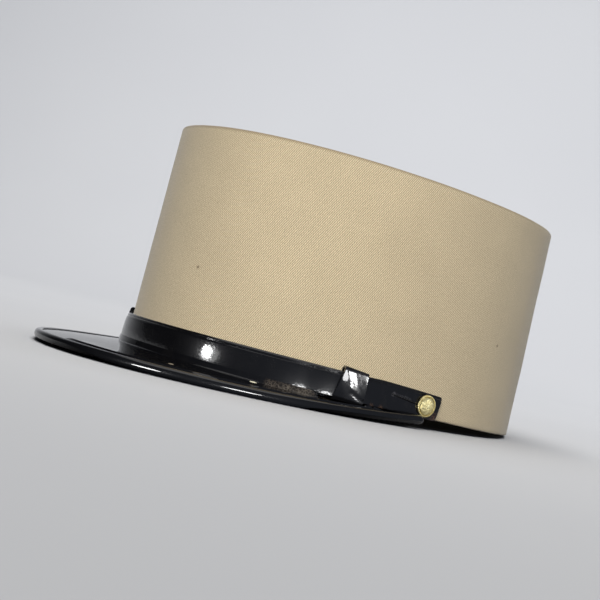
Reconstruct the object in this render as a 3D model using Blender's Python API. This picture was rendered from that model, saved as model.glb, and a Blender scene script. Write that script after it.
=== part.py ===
# A kepi: a stiff cloth crown, a patent leather peak with a rolled edge, and a buttoned false chin strap.
# Metres, +Z up. The front of the cap is -Y and the wearer's left is +X.
# Each piece is modelled on the cap's own rim, and the whole cap is then stood on the surface that it rests on.

import math

import bmesh
import bpy
import numpy as np
from mathutils import Matrix, Vector

# Gap left between pieces that touch on the real cap
FIT_GAP = 0.0003

# Crown: the oval of its rim, the smaller oval of its top edge, and how far forward the top leans
CROWN_LENGTH = 0.2060
CROWN_WIDTH = 0.1690
TOP_LENGTH = 0.2028
TOP_WIDTH = 0.1651
TOP_LEAN = 0.0025
FRONT_HEIGHT = 0.1044
BACK_HEIGHT = 0.1039
CROWN_WALL = 0.0025
TOP_EDGE_RADIUS = 0.0012
OVAL_POWER = 2.11
BACK_SWELL = 0.02

# Crown top: a disc sunk below the wall's top edge
TOP_SUNK = 0.0035
TOP_THICKNESS = 0.0025

# Peak: how far its edge stands out from the crown in front and at the sides, where it is widest, and its slope
PEAK_REACH = 0.0469
PEAK_SIDE_REACH = 0.0054
PEAK_WIDEST_AHEAD = 0.0306
PEAK_CORNER_AHEAD = 0.0125
PEAK_THICKNESS = 0.0016
PEAK_FRONT_DROP = 0.0086
PEAK_END_DROP = 0.0012
PEAK_ARCH = 0.0014
PEAK_FLANGE = 0.0060

# Binding: the rolled edge, with its lip lying on the peak's top face
BINDING_DIAMETER = 0.0046
BINDING_LIP = 0.0005
BINDING_END_AHEAD = 0.0102

# False chin strap: two layers, lowest across the front, each narrower at its buttoned end
STRAP_WIDTH = 0.0132
STRAP_END_WIDTH = 0.0114
STRAP_TAPER = 0.0320
STRAP_THICKNESS = 0.0012
STRAP_SIDE_DROP = 0.0003
STRAP_FRONT_DIP = 0.0008
STRAP_EASE = 0.0150
STRAP_PAST_BUTTON = 0.0074
# Each buttoned end is cut at a slant, and the top edges are cut lower along the front than at the ends
STRAP_END_LEAN = 0.0024
STRAP_LEAN_LENGTH = 0.0100
STRAP_TOP_TRIM = 0.0013
STRAP_TRIM_EASE = 0.0550
SLIT_LENGTH = 0.0190
SLIT_WIDTH = 0.0007
SLIT_RISE = 0.0018

# Keepers: leather loops round both layers, each so far from the button on its own side
KEEPER_LENGTH = 0.0127
KEEPER_WALL = 0.0010
KEEPER_CORNER = 0.0006
KEEPER_TIP_COVER = 0.0015
# The front edge slants, and the back end has settled on the narrower strap
KEEPER_SLANT = 0.21
KEEPER_SAG = 0.0011
KEEPER_LEFT_FROM_BUTTON = 0.0396
KEEPER_RIGHT_FROM_BUTTON = 0.0775

# Buttons: a dome in a flat rim, on a shank through the strap
BUTTON_DIAMETER = 0.0100
BUTTON_AHEAD = 0.0052
BUTTON_RIM_WIDTH = 0.0008
BUTTON_RIM_HEIGHT = 0.0011
BUTTON_DOME_HEIGHT = 0.0023
SHANK_DIAMETER = 0.0024

# How finely the curved pieces are divided
CROWN_STEPS = 96
PEAK_STEPS = 48
STRAP_STEP = 0.0050
ROLL_STEPS = 14
CORNER_STEPS = 3
BUTTON_STEPS = 24
SMALL_ANGLE = math.radians(0.5)

KHAKI = (0.47, 0.37, 0.24)
PATENT_BLACK = (0.006, 0.006, 0.008)
WORN_BLACK = (0.012, 0.011, 0.011)
BRASS = (0.72, 0.56, 0.28)


def clear_scene():
    for old in list(bpy.data.objects):
        bpy.data.objects.remove(old, do_unlink=True)


def material(name, colour, roughness, metallic=0.0):
    made = bpy.data.materials.new(name)
    made.use_nodes = True
    shader = made.node_tree.nodes["Principled BSDF"]
    shader.inputs["Base Color"].default_value = (*colour, 1)
    shader.inputs["Roughness"].default_value = roughness
    shader.inputs["Metallic"].default_value = metallic
    return made


def finish(name, bm, cap, look):
    """Turns a bmesh into a smooth-shaded object with its faces outward, carried by the cap's empty."""
    bmesh.ops.recalc_face_normals(bm, faces=bm.faces)
    mesh = bpy.data.meshes.new(name)
    bm.to_mesh(mesh)
    bm.free()
    mesh.materials.append(look)
    mesh.shade_smooth()
    mesh.set_sharp_from_angle(angle=math.radians(35))
    made = bpy.data.objects.new(name, mesh)
    bpy.context.collection.objects.link(made)
    made.parent = cap
    return made


def loft(name, sections, cap, look, ring=False):
    """A solid through sections with equally many points each, closed into a ring or capped at both ends."""
    bm = bmesh.new()
    loops = [[bm.verts.new(point) for point in section] for section in sections]
    pairs = list(zip(loops, loops[1:] + loops[:1]))
    for here, ahead in pairs if ring else pairs[:-1]:
        for k in range(len(here)):
            bm.faces.new((here[k - 1], here[k], ahead[k], ahead[k - 1]))
    if not ring:
        bm.faces.new(loops[0])
        bm.faces.new(loops[-1])
    return finish(name, bm, cap, look)


def turned(name, profile, cap, look):
    """A solid turned about local Z from (radius, height) points that start and end on the axis."""
    bm = bmesh.new()
    rings = []
    for radius, height in profile[1:-1]:
        turns = [2 * math.pi * k / BUTTON_STEPS for k in range(BUTTON_STEPS)]
        rings.append([bm.verts.new((radius * math.cos(t), radius * math.sin(t), height)) for t in turns])
    for here, ahead in zip(rings, rings[1:]):
        for k in range(BUTTON_STEPS):
            bm.faces.new((here[k - 1], here[k], ahead[k], ahead[k - 1]))
    for (_, height), ring in ((profile[0], rings[0]), (profile[-1], rings[-1])):
        pole = bm.verts.new((0, 0, height))
        for k in range(BUTTON_STEPS):
            bm.faces.new((ring[k - 1], ring[k], pole))
    return finish(name, bm, cap, look)


def smooth(share):
    """Eases from 0 to 1 as the share goes from 0 to 1."""
    share = min(max(share, 0.0), 1.0)
    return share * share * (3 - 2 * share)


# The crown's oval and wall

def oval(angle, length, width):
    """A point of an oval outline. The angle runs from the front towards the wearer's left."""
    side = math.copysign(abs(math.sin(angle)) ** (2 / OVAL_POWER), math.sin(angle))
    back = -math.copysign(abs(math.cos(angle)) ** (2 / OVAL_POWER), math.cos(angle))
    return Vector((width / 2 * side * (1 + BACK_SWELL * back), length / 2 * back))


def crown_height(angle):
    back_share = 0.5 + oval(angle, TOP_LENGTH, TOP_WIDTH).y / TOP_LENGTH
    return FRONT_HEIGHT + (BACK_HEIGHT - FRONT_HEIGHT) * back_share


def crown_outline(angle, height):
    foot = oval(angle, CROWN_LENGTH, CROWN_WIDTH)
    head = oval(angle, TOP_LENGTH, TOP_WIDTH) - Vector((0, TOP_LEAN))
    return foot.lerp(head, height / crown_height(angle))


def crown_outward(angle, height):
    """The level direction that points straight out from the crown."""
    along = crown_outline(angle + SMALL_ANGLE, height) - crown_outline(angle - SMALL_ANGLE, height)
    return Vector((along.y, -along.x)).normalized()


def crown_point(angle, height, outset=0.0):
    """A point at a height above the rim, so far outside the crown's wall."""
    flat = crown_outline(angle, height) + crown_outward(angle, height) * outset
    return Vector((flat.x, flat.y, height))


def angle_ahead(distance):
    """The angle, on the wearer's left, of the rim's point that lies so far ahead of the crown's middle."""
    return math.acos((distance / (CROWN_LENGTH / 2)) ** (OVAL_POWER / 2))


RIM_ANGLES = np.linspace(-math.pi, math.pi, 1441)
RIM_POINTS = np.array([oval(angle, CROWN_LENGTH, CROWN_WIDTH) for angle in RIM_ANGLES])
RIM_STEPS = np.hypot(*np.diff(RIM_POINTS, axis=0).T)
RIM_RUNS = np.concatenate([[0.0], np.cumsum(RIM_STEPS)]) - RIM_STEPS.sum() / 2


def run_of(angle):
    """The distance along the rim from the front to this angle."""
    return float(np.interp(angle, RIM_ANGLES, RIM_RUNS))


def angle_of(run):
    return float(np.interp(run, RIM_RUNS, RIM_ANGLES))


def crown_side(cap, look):
    rounding = [math.radians(90 * k / CORNER_STEPS) for k in range(CORNER_STEPS + 1)]
    sections = []
    for k in range(CROWN_STEPS):
        angle = 2 * math.pi * k / CROWN_STEPS
        top = crown_height(angle)
        section = [crown_point(angle, 0, -CROWN_WALL), crown_point(angle, 0)]
        for turn in rounding:
            inset = TOP_EDGE_RADIUS * (1 - math.cos(turn))
            section.append(crown_point(angle, top - TOP_EDGE_RADIUS * (1 - math.sin(turn)), -inset))
        section.append(crown_point(angle, top, -CROWN_WALL))
        sections.append(section)
    return loft("crown_side", sections, cap, look, ring=True)


def crown_top(cap, look):
    sections = []
    for sunk in (TOP_SUNK + TOP_THICKNESS, TOP_SUNK):
        angles = [2 * math.pi * k / CROWN_STEPS for k in range(CROWN_STEPS)]
        sections.append([crown_point(a, crown_height(a) - sunk, -CROWN_WALL - FIT_GAP) for a in angles])
    return loft("crown_top", sections, cap, look)


# The peak and its rolled edge

ROLL_RADIUS = BINDING_DIAMETER / 2
ROLL_FRONT = CROWN_LENGTH / 2 + PEAK_REACH
ROLL_HALF_WIDTH = CROWN_WIDTH / 2 + PEAK_SIDE_REACH
# The peak's top face lies under the lip, so its middle is this far above the roll's middle
PEAK_ABOVE_ROLL = ROLL_RADIUS - BINDING_LIP - FIT_GAP - PEAK_THICKNESS / 2


def roll_turn(ahead):
    """The turn round the peak's ellipse at which the roll lies so far ahead of the crown's middle."""
    return math.acos((ahead - PEAK_WIDEST_AHEAD) / (ROLL_FRONT - PEAK_WIDEST_AHEAD))


def roll_point(turn):
    """A point of the roll's middle line, turn radians round from the front."""
    across = ROLL_HALF_WIDTH * math.sin(turn)
    ahead = PEAK_WIDEST_AHEAD + (ROLL_FRONT - PEAK_WIDEST_AHEAD) * math.cos(turn)
    share = (ahead - BINDING_END_AHEAD) / (ROLL_FRONT - BINDING_END_AHEAD)
    slope = PEAK_END_DROP + (PEAK_FRONT_DROP - PEAK_END_DROP) * share
    return Vector((across, -ahead, -slope - PEAK_ARCH * 4 * share * (1 - share)))


def seat_height():
    """The height of the peak's middle layer at the crown: its top face clears the keeper on the strap above."""
    under_keeper = FIT_GAP + KEEPER_WALL + FIT_GAP + PEAK_THICKNESS / 2
    return strap_bottom(KEEPER_RUNS[0]) - under_keeper


def peak_lines(share):
    """The roll's point, its direction, and the peak's outward and upward directions at a share of the way round."""
    turn = share * roll_turn(PEAK_CORNER_AHEAD)
    edge = roll_point(turn)
    forward = (roll_point(turn + SMALL_ANGLE) - roll_point(turn - SMALL_ANGLE)).normalized()
    kept = min(max(share, -1.0), 1.0)
    seat = crown_point(kept * angle_ahead(PEAK_CORNER_AHEAD), seat_height(), -CROWN_WALL - FIT_GAP)
    rib = edge + Vector((0, 0, PEAK_ABOVE_ROLL)) - seat
    up = rib.cross(forward).normalized()
    if up.z < 0:
        up = -up
    outward = forward.cross(up).normalized()
    if outward.dot(rib) < 0:
        outward = -outward
    return edge, forward, outward, up, seat


def peak(cap, look):
    half = PEAK_THICKNESS / 2
    corner_angle = angle_ahead(PEAK_CORNER_AHEAD)
    sections = []
    for k in range(PEAK_STEPS + 1):
        share = 2 * k / PEAK_STEPS - 1
        edge, _, _, up, seat = peak_lines(share)
        rim = edge + up * PEAK_ABOVE_ROLL
        angle = share * corner_angle
        outer, inner = -CROWN_WALL - FIT_GAP, -CROWN_WALL - FIT_GAP - PEAK_THICKNESS
        sections.append([
            rim + up * half,
            crown_point(angle, seat.z + half, outer),
            crown_point(angle, PEAK_FLANGE, outer),
            crown_point(angle, PEAK_FLANGE, inner),
            crown_point(angle, seat.z - half, inner),
            rim - up * half,
        ])
    return loft("peak", sections, cap, look)


def peak_binding(cap, look):
    """The roll's section is a round bead with a slot that takes the peak's edge just under its top."""
    slot_top = PEAK_ABOVE_ROLL + PEAK_THICKNESS / 2 + FIT_GAP
    slot_bottom = PEAK_ABOVE_ROLL - PEAK_THICKNESS / 2 - FIT_GAP
    start = math.pi - math.asin(slot_top / ROLL_RADIUS)
    end = -math.pi - math.asin(slot_bottom / ROLL_RADIUS)
    turns = [start + (end - start) * k / ROLL_STEPS for k in range(ROLL_STEPS + 1)]
    bead = [(ROLL_RADIUS * math.cos(t), ROLL_RADIUS * math.sin(t)) for t in turns]
    bead += [(FIT_GAP, slot_bottom), (FIT_GAP, slot_top)]
    last = roll_turn(BINDING_END_AHEAD) / roll_turn(PEAK_CORNER_AHEAD)
    stations = [(last * (2 * k / PEAK_STEPS - 1), 0.0, 1.0) for k in range(PEAK_STEPS + 1)]
    caps = [math.radians(angle) for angle in (30, 55, 75)]
    before = [(-last, -ROLL_RADIUS * math.sin(c), math.cos(c)) for c in reversed(caps)]
    after = [(last, ROLL_RADIUS * math.sin(c), math.cos(c)) for c in caps]
    sections = []
    for share, overrun, scale in before + stations + after:
        edge, forward, outward, up, _ = peak_lines(share)
        middle = edge + forward * overrun
        sections.append([middle + (outward * across + up * rise) * scale for across, rise in bead])
    return loft("peak_binding", sections, cap, look)


# The false chin strap, its keepers and its buttons. A run is a distance along the rim from the front.

BUTTON_RUN = run_of(angle_ahead(BUTTON_AHEAD))
KEEPER_RUNS = (BUTTON_RUN - KEEPER_LEFT_FROM_BUTTON, KEEPER_RIGHT_FROM_BUTTON - BUTTON_RUN)
LEFT_TIP_RUN = KEEPER_RUNS[1] - KEEPER_LENGTH / 2 + KEEPER_TIP_COVER
RIGHT_TIP_RUN = KEEPER_RUNS[0] + KEEPER_LENGTH / 2 - KEEPER_TIP_COVER


def strap_bottom(run):
    ahead = max(math.cos(angle_of(run)), 0.0)
    return -STRAP_SIDE_DROP - STRAP_FRONT_DIP * ahead * ahead


def from_end(run):
    return BUTTON_RUN + STRAP_PAST_BUTTON - abs(run)


def strap_width(run):
    """Full width along the front, tapering over the last stretch before the strap's buttoned end."""
    return STRAP_WIDTH - (STRAP_WIDTH - STRAP_END_WIDTH) * max(0.0, 1 - from_end(run) / STRAP_TAPER)


def strap_middle(run):
    return strap_bottom(run) + strap_width(run) / 2


def inner_lane(run):
    """How far the inner layer's back stands off the crown: it lifts where a keeper passes behind it."""
    lifts = []
    for keeper_run in KEEPER_RUNS:
        beyond = abs(run - keeper_run) - KEEPER_LENGTH / 2
        lifts.append(1 - smooth(beyond / STRAP_EASE))
    return FIT_GAP + (KEEPER_WALL + FIT_GAP) * max(lifts)


def outer_lane(run):
    """The outer layer lies on the inner one as far as that one's tip, then eases in to the crown."""
    on_top = smooth((run - (LEFT_TIP_RUN - FIT_GAP - STRAP_EASE)) / STRAP_EASE)
    return inner_lane(run) + (STRAP_THICKNESS + FIT_GAP) * on_top


def strap(name, lane, start, end, cap, look):
    steps = math.ceil((end - start) / STRAP_STEP)
    sections = []
    for k in range(steps + 1):
        run = start + (end - start) * k / steps
        back = lane(run)
        low = strap_bottom(run)
        high = low + strap_width(run) - STRAP_TOP_TRIM * smooth(from_end(run) / STRAP_TRIM_EASE)
        front = back + STRAP_THICKNESS
        lean = STRAP_END_LEAN * max(0.0, 1 - from_end(run) / STRAP_LEAN_LENGTH)
        top_run = run + math.copysign(lean, run)
        corners = ((back, low, run), (front, low, run), (front, high, top_run), (back, high, top_run))
        sections.append([crown_point(angle_of(at), height, outset) for outset, height, at in corners])
    return loft(name, sections, cap, look)


def straight_out(run, height, outset):
    """A frame with its origin so far outside the crown, Z straight out, X along the rim and Y up."""
    angle = angle_of(run)
    outward = crown_outward(angle, height).to_3d()
    along = Vector((0, 0, 1)).cross(outward)
    origin = crown_point(angle, height, outset)
    return Matrix.Translation(origin) @ Matrix((along, Vector((0, 0, 1)), outward)).transposed().to_4x4()


def cut(strap_piece, name, bm, frame, cap):
    """Cuts the strap with a hidden solid that stands in the given frame."""
    mesh = bpy.data.meshes.new(f"{strap_piece.name}_{name}")
    bm.to_mesh(mesh)
    bm.free()
    cutter = bpy.data.objects.new(mesh.name, mesh)
    bpy.context.collection.objects.link(cutter)
    cutter.parent = cap
    cutter.matrix_local = frame
    cutter.hide_render = True
    cutter.display_type = "WIRE"
    modifier = strap_piece.modifiers.new(name, "BOOLEAN")
    modifier.operation = "DIFFERENCE"
    modifier.solver = "EXACT"
    modifier.object = cutter


def buttonhole(strap_piece, side, lane, cap):
    """A round hole for the button's shank, and the slit ahead of it that lets the button pass."""
    depth = 4 * STRAP_THICKNESS
    hole_radius = SHANK_DIAMETER / 2 + FIT_GAP
    layer_middle = lane(side * BUTTON_RUN) + STRAP_THICKNESS / 2
    height = strap_middle(BUTTON_RUN)
    hole = bmesh.new()
    bmesh.ops.create_cone(hole, cap_ends=True, segments=16, radius1=hole_radius, radius2=hole_radius, depth=depth)
    cut(strap_piece, "hole", hole, straight_out(side * BUTTON_RUN, height, layer_middle), cap)
    slit = bmesh.new()
    bmesh.ops.create_cube(slit, size=1, matrix=Matrix.Diagonal((SLIT_LENGTH, SLIT_WIDTH, depth, 1)))
    slit_run = side * (BUTTON_RUN - SLIT_LENGTH / 2)
    tilt = Matrix.Rotation(-side * math.asin(SLIT_RISE / SLIT_LENGTH), 4, "Z")
    cut(strap_piece, "slit", slit, straight_out(slit_run, height + SLIT_RISE / 2, layer_middle) @ tilt, cap)


def keeper(name, middle_run, cap, look):
    """A closed leather loop round both layers, its long sides following the crown."""
    layers = 2 * STRAP_THICKNESS + FIT_GAP
    room = (layers / 2 + FIT_GAP, STRAP_WIDTH / 2 + FIT_GAP)
    backward = math.copysign(1, middle_run)

    def corner_point(back_share, turn, side, rise, wall):
        """A point of the loop's rounded corner, on its inside or, a wall further out, on its outside."""
        radius = KEEPER_CORNER + wall
        out = side * (room[0] - KEEPER_CORNER) + radius * math.cos(turn)
        up = rise * (room[1] - KEEPER_CORNER) + radius * math.sin(turn)
        if rise > 0:
            up -= KEEPER_SAG * back_share
        behind = KEEPER_LENGTH * (back_share - 0.5) + KEEPER_SLANT * up * (1 - back_share)
        run = middle_run + backward * behind
        middle = inner_lane(run) + layers / 2
        return crown_point(angle_of(run), strap_middle(run) + up, middle + out)

    sections = []
    for side, rise, first in ((1, 1, 0), (-1, 1, 90), (-1, -1, 180), (1, -1, 270)):
        for step in range(CORNER_STEPS + 1):
            turn = math.radians(first + 90 * step / CORNER_STEPS)
            inside = [corner_point(k / 4, turn, side, rise, 0) for k in range(5)]
            outside = [corner_point(k / 4, turn, side, rise, KEEPER_WALL) for k in range(5)]
            sections.append(inside + outside[::-1])
    return loft(name, sections, cap, look, ring=True)


def button(name, side, lane, cap, look):
    strap_face = lane(side * BUTTON_RUN) + STRAP_THICKNESS
    back = strap_face + FIT_GAP
    shank = SHANK_DIAMETER / 2
    radius = BUTTON_DIAMETER / 2
    dome = radius - BUTTON_RIM_WIDTH
    rise = BUTTON_DOME_HEIGHT - BUTTON_RIM_HEIGHT
    profile = [(0, FIT_GAP - back), (shank, FIT_GAP - back), (shank, 0), (radius, 0)]
    profile += [(radius, BUTTON_RIM_HEIGHT), (dome, BUTTON_RIM_HEIGHT)]
    for turn in (30, 50, 70):
        up = math.radians(turn)
        profile.append((dome * math.cos(up), BUTTON_RIM_HEIGHT + rise * math.sin(up)))
    profile.append((0, BUTTON_DOME_HEIGHT))
    made = turned(name, profile, cap, look)
    made.matrix_local = straight_out(side * BUTTON_RUN, strap_middle(BUTTON_RUN), back)
    return made


def stand(cap, pieces):
    """Lays the cap on its back rim and the front of its peak, as it rests by itself, and centres it."""
    rim_back = Vector((0, CROWN_LENGTH / 2, 0))
    edge = next(piece for piece in pieces if piece.name == "peak_binding")
    nose_down = [math.atan2(-v.co.z, rim_back.y - v.co.y) for v in edge.data.vertices]
    cap.rotation_euler.x = -max(nose_down)
    turn = cap.rotation_euler.to_matrix()
    points = [turn @ (piece.matrix_local @ v.co) for piece in pieces for v in piece.data.vertices]
    low = Vector([min(point[axis] for point in points) for axis in range(3)])
    high = Vector([max(point[axis] for point in points) for axis in range(3)])
    cap.location = (-(low.x + high.x) / 2, -(low.y + high.y) / 2, -low.z)


def main():
    clear_scene()
    cap = bpy.data.objects.new("cap", None)
    bpy.context.collection.objects.link(cap)
    cloth = material("khaki_twill", KHAKI, 0.95)
    patent = material("patent_leather", PATENT_BLACK, 0.12)
    worn = material("worn_leather", WORN_BLACK, 0.4)
    brass = material("brass", BRASS, 0.3, metallic=1.0)
    pieces = [
        crown_side(cap, cloth),
        crown_top(cap, cloth),
        peak(cap, patent),
        peak_binding(cap, patent),
    ]
    left = strap("strap_left", inner_lane, LEFT_TIP_RUN, BUTTON_RUN + STRAP_PAST_BUTTON, cap, worn)
    right = strap("strap_right", outer_lane, -BUTTON_RUN - STRAP_PAST_BUTTON, RIGHT_TIP_RUN, cap, patent)
    buttonhole(left, 1, inner_lane, cap)
    buttonhole(right, -1, outer_lane, cap)
    pieces += [left, right]
    pieces.append(keeper("keeper_left", KEEPER_RUNS[0], cap, worn))
    pieces.append(keeper("keeper_right", KEEPER_RUNS[1], cap, worn))
    pieces.append(button("button_left", 1, inner_lane, cap, brass))
    pieces.append(button("button_right", -1, outer_lane, cap, brass))
    stand(cap, pieces)


main()
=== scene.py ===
import math

import bmesh
import bpy
import numpy as np
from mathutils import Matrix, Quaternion, Vector, noise


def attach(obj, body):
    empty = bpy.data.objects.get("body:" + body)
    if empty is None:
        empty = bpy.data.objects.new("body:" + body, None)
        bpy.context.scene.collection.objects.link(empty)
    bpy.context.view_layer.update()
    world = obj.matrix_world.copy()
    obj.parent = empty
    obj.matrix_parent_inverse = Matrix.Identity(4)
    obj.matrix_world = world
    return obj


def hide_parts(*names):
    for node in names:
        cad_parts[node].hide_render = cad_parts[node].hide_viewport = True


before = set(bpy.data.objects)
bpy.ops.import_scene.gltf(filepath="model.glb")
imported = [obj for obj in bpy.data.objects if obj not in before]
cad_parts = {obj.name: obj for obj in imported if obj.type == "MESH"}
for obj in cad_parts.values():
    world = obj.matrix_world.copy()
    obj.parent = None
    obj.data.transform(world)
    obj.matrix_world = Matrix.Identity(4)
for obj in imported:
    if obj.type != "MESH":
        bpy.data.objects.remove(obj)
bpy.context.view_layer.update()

# The cap is modelled in millimetres on its own level rim, front towards -Y, wearer's left towards +X.
# It is then tipped on to the front of its peak and its back rim, as it stands by itself.
mm = 0.001
capTip = math.radians(-2.6990)
capPlace = (0.0, 24.3814, 4.8502)
fitGap = 0.3

crown = {
    "length": 206.0, "width": 169.0, "topLength": 202.8, "topWidth": 165.1, "topLean": 2.5,
    "frontHeight": 104.4, "backHeight": 103.9, "ovalPower": 2.11, "backSwell": 0.02,
    "wall": 2.5, "edgeRound": 0.8, "columns": 480, "rows": 44,
    "unevenness": 0.35, "unevenSize": 26.0, "seamDepth": 0.6, "seamHalfWidth": 1.6,
}


# Small helpers

def smoothStep(share):
    share = np.clip(share, 0.0, 1.0)
    return share * share * (3 - 2 * share)


def makeActive(piece):
    bpy.ops.object.select_all(action="DESELECT")
    piece.select_set(True)
    bpy.context.view_layer.objects.active = piece


def startEdit(piece, selection="DESELECT"):
    makeActive(piece)
    bpy.ops.object.mode_set(mode="EDIT")
    bpy.ops.mesh.select_mode(type="FACE")
    bpy.ops.mesh.select_all(action=selection)


def endEdit():
    bpy.ops.object.mode_set(mode="OBJECT")


def nameActive(name):
    piece = bpy.context.active_object
    piece.name = piece.data.name = name
    return piece


def pickFaces(piece, rule):
    # selects the faces whose middle and normal pass the rule
    bpy.ops.mesh.select_all(action="DESELECT")
    shape = bmesh.from_edit_mesh(piece.data)
    for face in shape.faces:
        face.select_set(bool(rule(face.calc_center_median(), face.normal)))
    bmesh.update_edit_mesh(piece.data)


def pickEdges(piece, rule):
    bpy.ops.mesh.select_all(action="DESELECT")
    bpy.ops.mesh.select_mode(type="EDGE")
    shape = bmesh.from_edit_mesh(piece.data)
    for edge in shape.edges:
        edge.select_set(bool(rule(edge)))
    bmesh.update_edit_mesh(piece.data)


def applyModifier(piece, kind, **settings):
    makeActive(piece)
    modifier = piece.modifiers.new(kind.lower(), kind)
    for setting, value in settings.items():
        setattr(modifier, setting, value)
    bpy.ops.object.modifier_apply(modifier=modifier.name)


def roundEdges(piece, width, segments=3):
    applyModifier(piece, "BEVEL", width=width, segments=segments, limit_method="ANGLE",
                  angle_limit=math.radians(60))


def movePoints(piece, rule):
    # moves every point by a rule on its x, y and z
    points = np.empty(len(piece.data.vertices) * 3)
    piece.data.vertices.foreach_get("co", points)
    moved = np.stack(np.broadcast_arrays(*rule(*points.reshape(-1, 3).T)), axis=-1)
    piece.data.vertices.foreach_set("co", moved.ravel())
    piece.data.update()


def mergePoints(piece, distance):
    startEdit(piece, "SELECT")
    bpy.ops.mesh.remove_doubles(threshold=distance)
    endEdit()


def faceOutwards(piece):
    startEdit(piece, "SELECT")
    bpy.ops.mesh.normals_make_consistent(inside=False)
    endEdit()


def flatPanel(name, start, end, low, high, columns, rows):
    # a flat panel of leather or cloth, as it is cut: x along the rim, y up
    bpy.ops.mesh.primitive_grid_add(x_subdivisions=columns, y_subdivisions=rows, size=1)
    panel = nameActive(name)
    startEdit(panel, "SELECT")
    bpy.ops.transform.resize(value=(end - start, high - low, 1))
    bpy.ops.transform.translate(value=((start + end) / 2, (low + high) / 2, 0))
    endEdit()
    return panel


def keepFlatMap(piece, scale=0.1):
    # the piece's own UV map holds its flat shape, so the weave and grain follow the material as it was cut
    mesh = piece.data
    flatMap = mesh.uv_layers.get("UVMap") or mesh.uv_layers.new(name="UVMap")
    points = np.empty(len(mesh.vertices) * 3)
    mesh.vertices.foreach_get("co", points)
    corners = np.empty(len(mesh.loops), dtype=int)
    mesh.loops.foreach_get("vertex_index", corners)
    flatMap.data.foreach_set("uv", (points.reshape(-1, 3)[corners, :2] * scale).ravel())


def addDisplacement(piece, strength, size, axis="NORMAL", depth=2):
    # a soft unevenness over the surface
    cloud = bpy.data.textures.new(piece.name + "Uneven", "CLOUDS")
    cloud.noise_scale = size
    cloud.noise_depth = depth
    applyModifier(piece, "DISPLACE", texture=cloud, strength=strength, direction=axis, mid_level=0.5)


def ripples(across, up, sizes, seed):
    # a smooth random unevenness between -1 and 1
    return np.array([noise.noise(Vector((u / sizes[0], v / sizes[1], seed))) for u, v in zip(across, up)])


def standCap(piece):
    # from the cap's own millimetres to metres on the floor
    turnCos, turnSin = math.cos(capTip), math.sin(capTip)

    def tip(x, y, z):
        return ((x + capPlace[0]) * mm, (y * turnCos - z * turnSin + capPlace[1]) * mm,
                (y * turnSin + z * turnCos + capPlace[2]) * mm)

    movePoints(piece, tip)


def finishPiece(piece, material, finish, *nodes, angle=40):
    if material:
        piece.data.materials.clear()
        piece.data.materials.append(material)
    makeActive(piece)
    bpy.ops.object.shade_smooth_by_angle(angle=math.radians(angle))
    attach(piece, "root")
    if nodes:
        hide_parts(*nodes)
    print("made", piece.name, len(piece.data.polygons), "faces")


# The crown's outline

def oval(angle, length, width):
    # the angle runs from the front towards the wearer's left
    power = 2 / crown["ovalPower"]
    side = np.sign(np.sin(angle)) * np.abs(np.sin(angle)) ** power
    back = -np.sign(np.cos(angle)) * np.abs(np.cos(angle)) ** power
    return width / 2 * side * (1 + crown["backSwell"] * back), length / 2 * back


def crownHeight(angle):
    back = oval(angle, crown["topLength"], crown["topWidth"])[1]
    rise = crown["backHeight"] - crown["frontHeight"]
    return crown["frontHeight"] + rise * (0.5 + back / crown["topLength"])


def crownOutline(angle, height):
    footX, footY = oval(angle, crown["length"], crown["width"])
    headX, headY = oval(angle, crown["topLength"], crown["topWidth"])
    share = height / crownHeight(angle)
    return footX + (headX - footX) * share, footY + (headY - crown["topLean"] - footY) * share


def crownPoint(angle, height, outset):
    # a point at a height above the rim, so far outside the crown's wall
    step = math.radians(0.5)
    x, y = crownOutline(angle, height)
    aheadX, aheadY = crownOutline(angle + step, height)
    behindX, behindY = crownOutline(angle - step, height)
    alongX, alongY = aheadX - behindX, aheadY - behindY
    along = np.hypot(alongX, alongY)
    return x + alongY / along * outset, y - alongX / along * outset, height + 0 * x


rimAngles = np.linspace(-math.pi, math.pi, 1441)
rimSteps = np.hypot(*np.diff(np.array(oval(rimAngles, crown["length"], crown["width"]))))
rimRuns = np.concatenate([[0.0], np.cumsum(rimSteps)]) - rimSteps.sum() / 2
halfRim = rimSteps.sum() / 2


def runOf(angle):
    # the distance along the rim from the front
    return np.interp(angle, rimAngles, rimRuns)


def angleOf(run):
    return np.interp(run, rimRuns, rimAngles)


def angleAhead(distance):
    return math.acos((distance / (crown["length"] / 2)) ** (crown["ovalPower"] / 2))


def wrapOnCrown(run, height, outset):
    return crownPoint(angleOf(run), height, outset)


# Materials. Colours are sRGB hex values.

def linearColour(hexColour):
    parts = [int(hexColour[k:k + 2], 16) / 255 for k in (1, 3, 5)]
    return (*(p / 12.92 if p <= 0.04045 else ((p + 0.055) / 1.055) ** 2.4 for p in parts), 1.0)


def addNode(tree, kind, sockets=None, **settings):
    # adds a node with its settings; a socket's value is a number, a colour or another node's output
    made = tree.nodes.new("ShaderNode" + kind)
    for setting, value in settings.items():
        setattr(made, setting, value)
    for socket, value in (sockets or {}).items():
        if isinstance(value, bpy.types.NodeSocket):
            tree.links.new(value, made.inputs[socket])
        else:
            made.inputs[socket].default_value = value
    return made


def startMaterial(name, shaderValues):
    made = bpy.data.materials.new(name)
    made.use_nodes = True
    tree = made.node_tree
    shader = tree.nodes["Principled BSDF"]
    for socket, value in shaderValues.items():
        shader.inputs[socket].default_value = value
    return made, tree, shader


def remap(tree, value, low, high, toLow=0.0, toHigh=1.0):
    # maps one range on to another and stops at its ends
    return addNode(tree, "MapRange", {"Value": value, "From Min": low, "From Max": high,
                                      "To Min": toLow, "To Max": toHigh}).outputs["Result"]


def mixColours(tree, share, *colours):
    # each of the two colours is a hex value or another node's output
    first, second = (linearColour(colour) if isinstance(colour, str) else colour for colour in colours)
    return addNode(tree, "Mix", {"Factor": share, "A": first, "B": second},
                   data_type="RGBA").outputs["Result"]


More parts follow.
